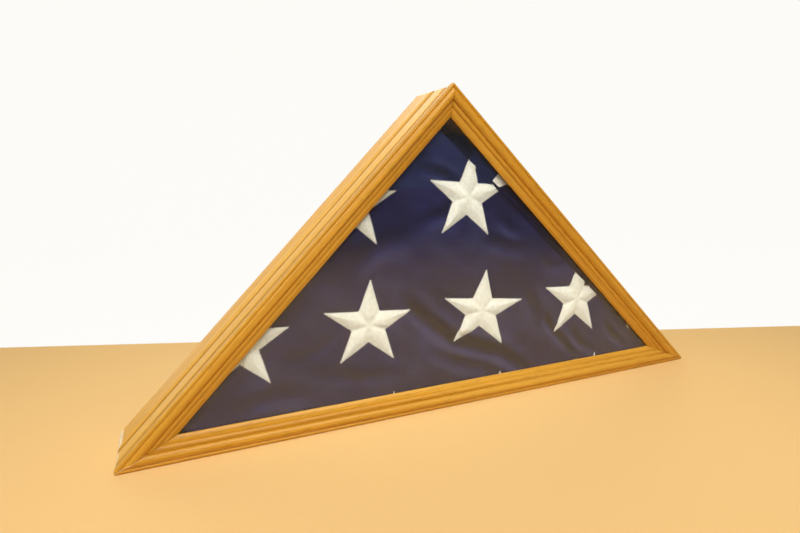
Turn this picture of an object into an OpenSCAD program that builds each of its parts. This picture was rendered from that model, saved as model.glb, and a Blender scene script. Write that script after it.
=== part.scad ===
// Triangular display case for a folded flag: three layers of mitred hardwood
// members (reeded front moulding, side boards, rear boards), a pane of glass,
// a lift-out back panel held by turn buttons, and the folded flag inside.
// +Z is up, the glass faces -Y, and the origin is under the middle of the case.

/* [Case] */
// Width of the base between its sharp corners
case_w = 660; // [560:5:800]
// Height from the base to the apex
case_h = 330; // [280:5:400]
// Distance from the outer faces to the inside of the box
wall_t = 17; // [16.5:0.1:18.5]
// Height of the small flat sanded on each pointed base corner
tip_flat = 4; // [1:0.5:8]

/* [Front moulding] */
// Depth of the moulding, front to back
moulding_d = 16; // [14.5:0.5:22]
// Width of the moulding as seen from the front
face_w = 22.9; // [21:0.1:30]
// Radius of the outer bead
bead_r = 2; // [1.9:0.1:2.2]
// Inset of the quirk between the outer bead and the dome
quirk_in = 3.6; // [3.3:0.1:3.8]
// Inset of the top of the dome
dome_in = 7.3; // [7.1:0.1:7.7]
// Radius of the dome
dome_r = 4.7; // [4.65:0.05:5.5]
// Inset of the crease between the dome and the reed
outer_crease_in = 11.9; // [11:0.1:11.9]
// Inset of the crease between the reed and the lip
inner_crease_in = 16.4; // [15:0.1:17.5]
// Depth of the crease between the reed and the lip
inner_crease_y = 5.5; // [5:0.1:6.5]
// Height of the reed above its two creases
reed_bulge = 1; // [0.4:0.1:1.4]
// Height of the soft swell on the lip
lip_bulge = 0.7; // [0.2:0.1:1.2]
// Depth of the edge round the glass
lip_y = 8; // [7.5:0.1:9]
// Thickness of the lip at that edge
lip_t = 1.5; // [1:0.1:2.5]
// Rounding of the lip at that edge
lip_ease = 0.5; // [0.2:0.1:0.8]
// Inset of the notch behind the moulding
notch_in = 2.6; // [2:0.1:3.2]
// Depth of that notch, front to back
notch_d = 1.8; // [1:0.1:2.4]

/* [Side and rear boards] */
// Depth of the side boards, front to back
side_d = 23.5; // [18:0.5:40]
// Depth of the rear boards, front to back
rear_d = 38.5; // [30:0.5:60]
// Inset of the side boards' outer faces
side_in = 0.8; // [0.3:0.1:1.6]
// Rounding of the side boards' front and back edges
side_ease = 4; // [2:0.1:6]
// Height of the faint swell on the side boards' outer faces
side_swell = 0.2; // [0.1:0.1:0.3]
// Inset of the seam between the side and rear boards
seam_in = 2.8; // [2.2:0.1:3]
// Inset of the bottom of the groove in the rear boards
groove_in = 3.2; // [3.1:0.1:4]
// Width of the groove in the rear boards
groove_w = 5; // [4:0.5:8]
// Height of the fine lip in front of the groove
groove_lip = 1.1; // [0.6:0.1:1.6]
// Rounding of the groove's rear edge
groove_ease = 1.3; // [0.8:0.1:2]
// Rounding of the rear boards' back edge
back_ease = 1.4; // [0.5:0.1:2.5]

/* [Glass] */
// Thickness of the glass
glass_t = 2.5; // [2:0.1:3]
// Clearance round the glass in its rabbet
glass_gap = 0.3; // [0.1:0.1:0.8]
// Glazing points on each member
points_per_side = 2; // [1:1:4]
// Width of a glazing point
point_w = 8; // [5:0.5:12]
// Length of a glazing point, half of it in the wood
point_l = 12; // [8:0.5:14]
// Thickness of a glazing point
point_t = 0.4; // [0.3:0.05:0.6]

/* [Fasteners in the wood] */
// Length of each leg of a corner V-nail
v_leg = 6; // [4:0.5:7]
// Depth of a corner V-nail
v_depth = 6; // [4:0.5:7]
// Thickness of a corner V-nail
v_t = 0.7; // [0.5:0.1:1]
// Inset of the corner V-nails
v_nail_in = 8; // [7.5:0.1:9]
// How much further in the side boards' V-nails lie than the others
v_nail_shift = 3; // [2:0.1:3]
// Diameter of the brads and nails
nail_d = 1.8; // [1.4:0.1:2.2]
// Diameter of their heads
nail_head_d = 3; // [2.6:0.1:3.6]
// Thickness of their heads
nail_head_h = 1; // [0.6:0.1:2]
// Length of a brad through the side boards
brad_l = 30; // [25:0.5:32]
// Length of a nail through the rear boards
nail_l = 50; // [42:0.5:54]
// Inset of the brads and nails
nail_in = 8; // [6:0.5:9]

/* [Back panel] */
// Thickness of the back panel
panel_t = 3.2; // [2.5:0.1:5]
// Width of the rabbet that the panel lies in
panel_lap = 6; // [4:0.1:6.4]
// Clearance round the edge of the panel
panel_gap = 0.4; // [0.2:0.1:1]
// Clearance in front of the panel
panel_seat_gap = 0.1; // [0.05:0.05:0.3]
// Depth of the panel's back face below the back of the case
panel_recess = 0.4; // [0.1:0.1:1]

/* [Turn buttons] */
// Thickness of a turn button
button_t = 1.2; // [0.8:0.1:2]
// Width of a turn button
button_w = 9; // [7:0.5:10]
// Distance from the screw to the middle of the button's round end
button_reach = 14; // [10:0.5:24]
// Height of the turned-up finger tab
tab_h = 2; // [1:0.1:3]
// Width of the finger tab
tab_w = 5; // [3:0.1:6]
// Thickness of the finger tab
tab_t = 1; // [0.8:0.1:1.4]
// Distance from the button's round end to the finger tab
tab_in = 0.6; // [0.4:0.1:1]
// Inset of the screws
button_in = 5.4; // [5.2:0.1:6]
// Clearance under a button and under its screw head
button_gap = 0.1; // [0.05:0.05:0.2]
// Share of each member's length from its end to the nearest button
button_place = 0.28; // [0.2:0.01:0.35]
// Diameter of the screw's shank
screw_d = 3.5; // [3:0.1:4]
// Length of the screw in the wood
screw_l = 14; // [10:0.5:20]
// Diameter of the screw's head
screw_head_d = 7; // [6:0.1:8.5]
// Height of the screw's head
screw_head_h = 2.2; // [1.6:0.1:3]
// Width of the slots in the screw's cross recess
slot_w = 1; // [0.6:0.1:1.2]
// Length of those slots
slot_l = 4.2; // [3:0.1:4.8]
// Depth of those slots
slot_d = 1.3; // [0.8:0.1:1.4]
// Radial clearance between a screw and its button
pivot_gap = 0.05; // [0.02:0.01:0.1]

/* [Flag] */
// Gap between the flag and the sloping sides
flag_gap = 2; // [1:0.5:8]
// Gap between the flag and the back panel
flag_back_gap = 0.5; // [0.3:0.1:6]
// Length missing from each of the flag's two base points
flag_tip = 12; // [8:1:60]
// Distance from the inner apex down to the flag's top fold
flag_top_drop = 29; // [14:1:40]
// Slope of the flag's top fold
flag_top_slope = 40; // [0:1:44]
// Thickness of the front fold of the flag
fold_t = 6; // [3:0.5:12]
// How far the front fold stops short at the foot of the right slope
fold_back = 4; // [3:0.5:20]
// Lean of the front fold's right edge, away from the slope
fold_turn = 2.2; // [0:0.1:4]
// Diameter of a star
star_d = 93.5; // [60:0.5:110]
// Thickness of a sewn star
star_t = 0.4; // [0.3:0.05:0.5]
// Clearance in front of and behind the stars
star_gap = 0.1; // [0.05:0.05:0.3]
// Distance between stars along a row
star_pitch = 128; // [110:1:160]
// Distance between rows of stars
star_rise = 121; // [105:1:150]
// Sideways step from a row to the one above
star_step = -18.5; // [-40:0.5:40]
// Middle of the star nearest the centre of the case, across
star_x = 41; // [0:1:80]
// Middle of that star, above the base
star_z = 95; // [80:1:110]
// Turn of the stars
star_turn = -5; // [-36:1:36]

/* [Hidden] */
$fn = 48;

oak = "#C8892F";
oak_light = "#D79C48";
steel = "#9A9C9E";
brass = "#B8923C";

// The three members, numbered 0 base, 1 right slope, 2 left slope
BASE = 0;
RIGHT = 1;
LEFT = 2;

// The three layers of boards, from the front
MOULDING = 0;
SIDE = 1;
REAR = 2;

// Brads and nails on each member: one even and one odd, so that none meet end to end
brads_per_side = 2;
nails_per_side = 3;

// Shares of a screw head's height and diameter at which its rounded top begins and ends
head_rim = 0.6;
head_top = 0.7;

// Outer triangle in the X-Z plane
base_angle = atan2(case_h, case_w / 2);
slope_l = norm([case_w / 2, case_h]);
corners = [[-case_w / 2, 0], [case_w / 2, 0], [0, case_h]];
edge_turn = [0, 180 - base_angle, 180 + base_angle];
edge_l = [case_w, slope_l, slope_l];
// Distance of the point that is equally far from all three edges
centre_z = case_w * case_h / (case_w + 2 * slope_l);

// Depths from the front of the dome to the back
side_y = moulding_d;
rear_y = side_y + side_d;
back_y = rear_y + rear_d;
glass_y = lip_y + lip_t;
glass_back_y = glass_y + glass_t;
star_y = glass_back_y + point_t + star_gap;
flag_y = star_y + star_t + star_gap;
fold_y = flag_y + fold_t;
rabbet_d = panel_seat_gap + panel_t + panel_recess;
panel_y = back_y - rabbet_d + panel_seat_gap;
flag_back_y = back_y - rabbet_d - flag_back_gap;
button_y = back_y + button_gap;
head_y = button_y + button_t + button_gap;
total_d = head_y + max(screw_head_h, tab_h - button_gap);

// Insets that follow from the others
rabbet_in = wall_t - panel_lap;
panel_in = rabbet_in + panel_gap;

// Creases of the moulding, as [inset, depth]
function on_dome(inset) = [inset, dome_r - sqrt(pow(dome_r, 2) - pow(inset - dome_in, 2))];
quirk = on_dome(quirk_in);
outer_crease = on_dome(outer_crease_in);
inner_crease = [inner_crease_in, inner_crease_y];
bead_y = quirk[1] + sqrt(pow(bead_r, 2) - pow(quirk_in - bead_r, 2));
bead_end = atan2(quirk[1] - bead_y, quirk_in - bead_r);
dome_start = atan2(quirk[1] - dome_r, quirk_in - dome_in);
dome_end = atan2(outer_crease[1] - dome_r, outer_crease_in - dome_in);

// How far a cutter reaches past what it cuts
past = 1;

// Points of an arc round a middle [inset, depth]
function arc(middle, r, start, end, steps) =
    [for (i = [0:steps]) let (a = start + (end - start) * i / steps)
        middle + r * [cos(a), sin(a)]];

// Points of a shallow swell between two creases, towards the front
function swell(from, to, bulge, steps) =
    let (run = to - from, side = [run[1], -run[0]] / norm(run))
    [for (i = [0:steps]) let (s = i / steps) from + run * s + side * bulge * 4 * s * (1 - s)];

// Corners of the outer triangle moved in by a distance
function inner_corners(inset) =
    let (k = 1 - inset / centre_z)
    [for (c = corners) [0, centre_z] + (c - [0, centre_z]) * k];

// Puts a child on a member: +X runs along its outer edge and +Z points inwards
module on_edge(i) {
    translate([corners[i][0], 0, corners[i][1]]) rotate([0, -edge_turn[i], 0]) children();
}

// The part of space that one member fills between its two mitres
module mitre_wedge(i) {
    middle = [0, centre_z];
    reach = 1.3;
    a = corners[i];
    b = corners[(i + 1) % 3];
    rotate([90, 0, 0]) translate([0, 0, -total_d - past]) linear_extrude(total_d + 2 * past)
        polygon([middle, middle + (a - middle) * reach, middle + (b - middle) * reach]);
}

// Everything between the two sanded base corners
module tip_limits() {
    half = case_w / 2 - tip_flat / tan(base_angle);
    translate([-half, -past, -past]) cube([2 * half, total_d + 2 * past, case_h + 2 * past]);
}

// A mitred member whose section is a list of [inset, depth]
module member(i, section) {
    intersection() {
        on_edge(i) rotate([90, 0, 90]) linear_extrude(edge_l[i])
            polygon([for (p = section) [p[1], p[0]]]);
        mitre_wedge(i);
        tip_limits();
    }
}

// A flat plate in the outline of the triangle, moved in by a distance
module triangle_plate(inset, t) {
    rotate([90, 0, 0]) translate([0, 0, -t]) linear_extrude(t) polygon(inner_corners(inset));
}

// A rounded edge, from a point where it runs across to a point where it runs along the depth
function eased(from, to, steps) =
    [for (i = [0:steps]) let (a = 90 * i / steps)
        [from[0] + (to[0] - from[0]) * sin(a), from[1] + (to[1] - from[1]) * (1 - cos(a))]];

function reversed(list) = [for (i = [len(list) - 1:-1:0]) list[i]];

moulding_section = concat(
    [[notch_in, moulding_d], [notch_in, moulding_d - notch_d / 3],
     [notch_in * 2 / 3, moulding_d - notch_d]],
    arc([bead_r, bead_y], bead_r, -180, -90, 6),
    arc([bead_r, bead_y], bead_r, -90, bead_end, 4),
    arc([dome_in, dome_r], dome_r, dome_start, -90, 6),
    arc([dome_in, dome_r], dome_r, -90, dome_end, 8),
    swell(outer_crease, inner_crease, reed_bulge, 8),
    swell(inner_crease, [face_w - lip_ease, lip_y], lip_bulge, 6),
    [[face_w, lip_y + lip_ease], [face_w, glass_y], [wall_t, glass_y], [wall_t, moulding_d]]);

side_section = concat(
    eased([notch_in, side_y], [side_in, side_y + side_ease], 4),
    [[side_in - side_swell, side_y + side_d / 2]],
    reversed(eased([seam_in, rear_y], [side_in, rear_y - side_ease], 4)),
    [[wall_t, rear_y], [wall_t, side_y]]);

rear_section = concat(
    [[seam_in, rear_y], [groove_in - groove_lip, rear_y + groove_w / 8],
     [groove_in - groove_lip, rear_y + groove_w / 4], [groove_in, rear_y + groove_w / 2]],
    eased([groove_ease, rear_y + groove_w - groove_ease / 2], [0, rear_y + groove_w + groove_ease], 3),
    reversed(eased([back_ease, back_y], [0, back_y - back_ease], 3)),
    [[rabbet_in, back_y], [rabbet_in, back_y - rabbet_d], [wall_t, back_y - rabbet_d],
     [wall_t, rear_y]]);

// Places along a member, away from its mitres
module along(i, count) {
    for (k = [0:count - 1])
        on_edge(i) translate([edge_l[i] * (k + 0.5) / count, 0, 0]) children();
}

// One glazing point, half in the wood and half behind the glass
module glazing_point() {
    translate([-point_w / 2, glass_back_y, wall_t - point_l / 2])
        cube([point_w, point_t, point_l]);
}

module all_glazing_points() {
    for (i = [BASE:LEFT]) along(i, points_per_side) glazing_point();
}

// One V-nail across the mitre at a corner, its front end at depth y
module v_nail(i, inset, y) {
    at = inner_corners(inset)[i];
    middle = [0, centre_z];
    turn = atan2(middle[1] - at[1], middle[0] - at[0]);
    translate([at[0], y, at[1]]) rotate([0, -turn, 0])
        for (side = [-1, 1]) rotate([0, side * 45, 0])
            translate([-v_t / 2, 0, -v_t / 2]) cube([v_leg, v_depth, v_t]);
}

// The V-nails of one layer: the moulding's are let in from its back, the others' from the front
module v_nails(layer) {
    depth = [moulding_d - v_depth, side_y, rear_y][layer];
    shift = layer == SIDE ? v_nail_shift : 0;
    for (i = [BASE:LEFT]) v_nail(i, v_nail_in + shift, depth);
}

// A nail with its head at the back, along -Y from the face at depth y
module nail(length, y) {
    translate([0, y, nail_in]) rotate([90, 0, 0]) {
        cylinder(d = nail_d, h = length);
        cylinder(d = nail_head_d, h = nail_head_h);
    }
}

module all_brads() {
    for (i = [BASE:LEFT]) along(i, brads_per_side) nail(brad_l, rear_y);
}

module all_nails() {
    for (i = [BASE:LEFT]) along(i, nails_per_side) nail(nail_l, back_y);
}

// A screw for a turn button, with a cross recess in its round head
module button_screw() {
    rim_h = screw_head_h * head_rim;
    translate([0, head_y, button_in]) difference() {
        union() {
            rotate([90, 0, 0]) cylinder(d = screw_d, h = head_y - back_y + screw_l);
            rotate([-90, 0, 0]) cylinder(d = screw_head_d, h = rim_h);
            translate([0, rim_h, 0]) rotate([-90, 0, 0])
                cylinder(d1 = screw_head_d, d2 = screw_head_d * head_top, h = screw_head_h - rim_h);
        }
        for (a = [0, 90]) rotate([0, a, 0])
            translate([-slot_l / 2, screw_head_h - slot_d, -slot_w / 2])
                cube([slot_l, slot_d + past, slot_w]);
    }
}

// Places a child at turn button n, counted from 1, two to a member
module at_button(n) {
    i = floor((n - 1) / 2);
    share = (n % 2 == 1) ? button_place : 1 - button_place;
    on_edge(i) translate([edge_l[i] * share, 0, 0]) children();
}

// A turn button lying along its member, free of the panel
module turn_button(n) {
    color(brass) placed() at_button(n) translate([0, button_y, button_in]) difference() {
        union() {
            rotate([-90, 0, 0]) cylinder(d = button_w, h = button_t);
            translate([button_reach, 0, 0]) rotate([-90, 0, 0]) cylinder(d = button_w, h = button_t);
            translate([0, 0, -button_w / 2]) cube([button_reach, button_t, button_w]);
            translate([button_reach + button_w / 2 - tab_in - tab_t, 0, -tab_w / 2])
                cube([tab_t, button_t + tab_h, tab_w]);
        }
        translate([0, -past, 0]) rotate([-90, 0, 0])
            cylinder(d = screw_d + 2 * pivot_gap, h = button_t + 2 * past);
    }
}

// Moves the model so that its origin is under the middle of its depth
module placed() {
    translate([0, -total_d / 2, 0]) children();
}

module front_moulding(i) {
    color(oak) placed() difference() {
        member(i, moulding_section);
        all_glazing_points();
        v_nails(MOULDING);
        all_brads();
    }
}

module side_board(i) {
    color(oak_light) placed() difference() {
        member(i, side_section);
        v_nails(SIDE);
        all_brads();
        all_nails();
    }
}

module rear_board(i) {
    color(oak) placed() difference() {
        member(i, rear_section);
        v_nails(REAR);
        all_nails();
        for (n = [1:6]) at_button(n) translate([0, back_y + past, button_in])
            rotate([90, 0, 0]) cylinder(d = screw_d, h = screw_l + past);
    }
}

module glass_pane() {
    color("#BFD3D8", 0.35) placed() translate([0, glass_y, 0])
        triangle_plate(wall_t + glass_gap, glass_t);
}

module back_panel() {
    color("#6B4A2C") placed() translate([0, panel_y, 0]) triangle_plate(panel_in, panel_t);
}

// Outline of the folded flag, which stands on the bottom board. Its right edge leans in by turn
module flag_outline(right_gap, turn = 0) {
    inner = inner_corners(wall_t);
    half = inner[1][0] - flag_tip;
    top_z = inner[2][1] - flag_top_drop;
    reach = 2 * case_w;
    intersection() {
        translate([-half, wall_t]) square([2 * half, case_h]);
        translate(inner_corners(wall_t + flag_gap)[0]) rotate(base_angle)
            translate([-reach, -reach]) square([2 * reach, reach]);
        translate(inner_corners(wall_t + right_gap)[1]) rotate(180 - base_angle + turn)
            translate([-reach, 0]) square([2 * reach, reach]);
        translate([0, top_z]) rotate(-flag_top_slope)
            translate([-reach, -reach]) square([2 * reach, reach]);
    }
}

// Outline of the front fold, and of the stars on it
module fold_outline() {
    flag_outline(flag_gap + fold_back, fold_turn);
}

module flag() {
    color("#26294A") placed() rotate([90, 0, 0]) {
        translate([0, 0, -fold_y]) linear_extrude(fold_t) fold_outline();
        translate([0, 0, -flag_back_y]) linear_extrude(flag_back_y - fold_y) flag_outline(flag_gap);
    }
}

// A five-pointed star with its first point up
module star_shape() {
    inner_share = sin(18) / sin(54);
    polygon([for (k = [0:9]) (k % 2 == 0 ? 1 : inner_share) * star_d / 2
        * [sin(36 * k), cos(36 * k)]]);
}

module flag_stars() {
    color("#E6DEC8") placed() translate([0, star_y + star_t, 0]) rotate([90, 0, 0])
        linear_extrude(star_t) intersection() {
            fold_outline();
            for (row = [-1:1], column = [-3:3])
                translate([star_x + column * star_pitch + row * star_step,
                           star_z + row * star_rise])
                    rotate(star_turn) star_shape();
        }
}

front_moulding(BASE);  // front_moulding_bottom
front_moulding(RIGHT);  // front_moulding_right
front_moulding(LEFT);  // front_moulding_left
side_board(BASE);  // side_board_bottom
side_board(RIGHT);  // side_board_right
side_board(LEFT);  // side_board_left
rear_board(BASE);  // rear_board_bottom
rear_board(RIGHT);  // rear_board_right
rear_board(LEFT);  // rear_board_left
glass_pane();
color(steel) placed() all_glazing_points();  // glazing_points
color(steel) placed() for (layer = [MOULDING:REAR]) v_nails(layer);  // corner_v_nails
color(steel) placed() all_brads();  // side_brads
color(steel) placed() all_nails();  // rear_nails
back_panel();
turn_button(1);  // turn_button_1
turn_button(2);  // turn_button_2
turn_button(3);  // turn_button_3
turn_button(4);  // turn_button_4
turn_button(5);  // turn_button_5
turn_button(6);  // turn_button_6
color(brass) placed() for (n = [1:6]) at_button(n) button_screw();  // button_screws
flag();
flag_stars();
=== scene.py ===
# Folded flag in its triangular oak display case. Metres throughout, +Z is up and the glass faces -Y.
# The sections follow the order in which the case is put together.
import math
import random

import bmesh
import bpy
import numpy as np
from mathutils import Matrix, Vector, noise


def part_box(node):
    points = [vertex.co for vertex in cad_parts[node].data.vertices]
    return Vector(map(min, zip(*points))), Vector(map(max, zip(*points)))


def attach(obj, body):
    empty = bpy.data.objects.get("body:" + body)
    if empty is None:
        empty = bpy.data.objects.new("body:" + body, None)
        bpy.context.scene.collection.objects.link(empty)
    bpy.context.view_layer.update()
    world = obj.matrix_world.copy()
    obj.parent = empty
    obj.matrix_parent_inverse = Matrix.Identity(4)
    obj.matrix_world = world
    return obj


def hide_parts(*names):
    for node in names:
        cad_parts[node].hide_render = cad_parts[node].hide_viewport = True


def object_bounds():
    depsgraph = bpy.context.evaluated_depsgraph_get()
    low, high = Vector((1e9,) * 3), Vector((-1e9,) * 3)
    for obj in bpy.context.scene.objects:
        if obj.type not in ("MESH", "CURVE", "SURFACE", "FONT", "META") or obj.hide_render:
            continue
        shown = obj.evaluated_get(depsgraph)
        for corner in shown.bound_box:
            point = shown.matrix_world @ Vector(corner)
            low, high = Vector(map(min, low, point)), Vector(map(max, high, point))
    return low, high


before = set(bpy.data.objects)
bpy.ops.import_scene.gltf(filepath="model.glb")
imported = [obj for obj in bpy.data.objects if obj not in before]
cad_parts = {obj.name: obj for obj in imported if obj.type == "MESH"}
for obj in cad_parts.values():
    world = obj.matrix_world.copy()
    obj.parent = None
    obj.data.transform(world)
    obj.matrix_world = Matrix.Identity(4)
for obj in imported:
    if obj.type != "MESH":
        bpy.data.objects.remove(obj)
cad_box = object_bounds()
MM = 0.001


# ---------------------------------------------------------------------------- Front moulding
# Three lengths of oak moulding mitred round the glass: a bead, a quirk, a dome, a reed and a lip. The
# sticks are run on a spindle moulder, stained honey, and sprayed with satin lacquer after glueing, so
# the mitres show as fine grooves and the stain stops short at the bare left-hand joint.
FRONT = cad_box[0].y
APEX = cad_box[1].z  # the slopes stand at 45 degrees, so half of the base is as long
TIP = cad_box[1].x
INRADIUS = APEX * (math.sqrt(2) - 1)
CORNERS = [np.array((-APEX, 0)), np.array((APEX, 0)), np.array((0, APEX))]
BASE, RIGHT, LEFT = 0, 1, 2
BARE_TO = 12 * MM  # how far in from its outer edge the left-hand mitre of the moulding is bare
GROOVE_SHADE_FROM, GROOVE_SHADE_FULL, GROOVE_SHADE_TO = 0.9 * MM, 2.7 * MM, 6 * MM  # where the painted groove shade starts, is full and ends, in from the outer edge
GROOVE_SHADE_BEHIND = 14.5 * MM  # and only on faces this far behind the front


def inner_corner(i, inset):
    """Corner i of the outer triangle moved in by inset, as (x, z)."""
    centre = np.array((0, INRADIUS))
    return centre + (CORNERS[i % 3] - centre) * (1 - inset / INRADIUS)


def along_and_in(i):
    """Directions in (x, z) along member i and inwards from its outer edge."""
    run = CORNERS[(i + 1) % 3] - CORNERS[i]
    run = run / np.linalg.norm(run)
    return run, np.array((-run[1], run[0]))


def arc(middle, r, start, end, steps):
    """Points of an arc round a middle (inset, depth), in mm and degrees."""
    angles = np.radians(np.linspace(start, end, steps + 1))
    return [(middle[0] + r * math.cos(a), middle[1] + r * math.sin(a)) for a in angles]


def angle_from(middle, point):
    """Direction in degrees from a middle to a point."""
    return math.degrees(math.atan2(point[1] - middle[1], point[0] - middle[0]))


def swell(start, end, bulge, steps):
    """Points of a shallow swell between two creases, towards the front."""
    start, end = np.array(start), np.array(end)
    run = end - start
    side = np.array((run[1], -run[0])) / np.linalg.norm(run)
    return [tuple(start + run * s + side * bulge * 4 * s * (1 - s)) for s in np.linspace(0, 1, steps + 1)]


def eased(section, by):
    """The closed section drawn in by a small distance, for the eased edge at a mitre."""
    before, after = np.roll(section, 1, axis=0), np.roll(section, -1, axis=0)
    ways = [after - section, section - before]
    sides = [np.stack((-w[:, 1], w[:, 0]), 1) / np.linalg.norm(w, axis=1)[:, None] for w in ways]
    normal = sides[0] + sides[1]
    normal /= np.linalg.norm(normal, axis=1)[:, None]
    turn = np.sign(np.sum(section[:, 0] * after[:, 1] - after[:, 0] * section[:, 1]))
    return section + normal * turn * by


def put(name, data):
    """A mesh, lamp or camera as an object in the scene."""
    thing = bpy.data.objects.new(name, data)
    bpy.context.scene.collection.objects.link(thing)
    return thing


def mitred_member(name, i, section, finishes, cuts, bare_corner=None, ease=0.35 * MM):
    """One stick from corner i to the next. Its ends are eased at the mitres, and its corners are sanded off
    by cuts: (angle of the cut's outward normal, its distance from the middle of the base in mm, whether
    it shows bare wood). The outer part of the eased edge at bare_corner shows bare wood too."""
    section = np.array(section) * MM
    run, inwards = along_and_in(i)
    drawn_in = eased(section, ease)
    rings = ((i, drawn_in, 0), (i, section, ease), (i + 1, section, -ease), (i + 1, drawn_in, 0))
    mesh = bmesh.new()
    loops = []
    for end, ring, back in rings:
        loop = []
        for inset, depth in ring:
            x, z = inner_corner(end, inset) + run * back
            loop.append(mesh.verts.new((x, FRONT + depth, z)))
        loops.append(loop)
    size = len(section)
    for step in range(3):
        opened = (step == 0 and bare_corner == i) or (step == 2 and bare_corner == (i + 1) % 3)
        for k in range(size):
            a, b = loops[step][k], loops[step][(k + 1) % size]
            c, d = loops[step + 1][(k + 1) % size], loops[step + 1][k]
            mesh.faces.new((a, b, c, d)).material_index = int(opened and section[k][0] < BARE_TO)
    for loop in (loops[0], loops[3]):
        mesh.faces.new(loop).material_index = 1
    for angle, reach, bare in cuts:
        for side in (-1, 1):
            normal = Vector((side * math.cos(math.radians(angle)), 0, math.sin(math.radians(angle))))
            parts = mesh.verts[:] + mesh.edges[:] + mesh.faces[:]
            bmesh.ops.bisect_plane(mesh, geom=parts, plane_co=normal * reach * MM, plane_no=normal,
                                   clear_outer=True)
            rim = [e for e in mesh.edges if e.is_boundary]
            for face in bmesh.ops.holes_fill(mesh, edges=rim)["faces"] if rim else ():
                face.material_index = int(bare)
    bmesh.ops.recalc_face_normals(mesh, faces=mesh.faces[:])
    data = bpy.data.meshes.new(name)
    mesh.to_mesh(data)
    mesh.free()
    data.shade_smooth()
    data.set_sharp_from_angle(angle=math.radians(25))

    # The board's own directions, along, across and through it, so that its grain runs its length. Each
    # board is cut from another part of the plank.
    grain = data.attributes.new("grain", "FLOAT_VECTOR", "POINT")
    places = np.array([v.co for v in data.vertices])
    from_corner = places[:, [0, 2]] - CORNERS[i]
    plank = random.Random(name).uniform(1, 40)
    values = np.stack((from_corner @ run + plank, from_corner @ inwards + plank, places[:, 1]), 1)
    grain.data.foreach_set("vector", values.astype(np.float32).ravel())
    # Painted shade: where the outer faces turn down into a joint behind the moulding, the colour is
    # darkened towards brown to stand in for the shade in that groove
    inset = from_corner @ inwards
    sunk = np.clip((inset - GROOVE_SHADE_FROM) / (GROOVE_SHADE_FULL - GROOVE_SHADE_FROM), 0, 1) * (inset < GROOVE_SHADE_TO)
    sunk *= places[:, 1] > FRONT + GROOVE_SHADE_BEHIND
    groove_shade = data.attributes.new("groove_shade", "FLOAT", "POINT")
    groove_shade.data.foreach_set("value", sunk.astype(np.float32))
    for finish in finishes:
        data.materials.append(finish)
    return put(name, data)


def linear(colour):
    """An sRGB hex colour as linear RGBA."""
    parts = [int(colour[k:k + 2], 16) / 255 for k in (1, 3, 5)]
    return [c / 12.92 if c <= 0.04045 else ((c + 0.055) / 1.055) ** 2.4 for c in parts] + [1]


def add(tree, kind, inputs=None, stops=(), **settings):
    """Adds a node, sets its properties, ramp stops and inputs, and links those inputs that are sockets."""
    node = tree.nodes.new(kind)
    for key, value in settings.items():
        setattr(node, key, value)
    for k, (place, colour) in enumerate(stops):
        ramp = node.color_ramp.elements
        stop = ramp[k] if k < 2 else ramp.new(place)
        stop.position, stop.color = place, linear(colour)
    for key, value in (inputs or {}).items():
        if isinstance(value, bpy.types.NodeSocket):
            tree.links.new(value, node.inputs[key])
        else:
            node.inputs[key].default_value = value
    return node


def new_material(name):
    """A material with its Principled shader, as (material, tree, shader)."""
    material = bpy.data.materials.new(name)
    material.use_nodes = True
    return material, material.node_tree, material.node_tree.nodes["Principled BSDF"]


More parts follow.
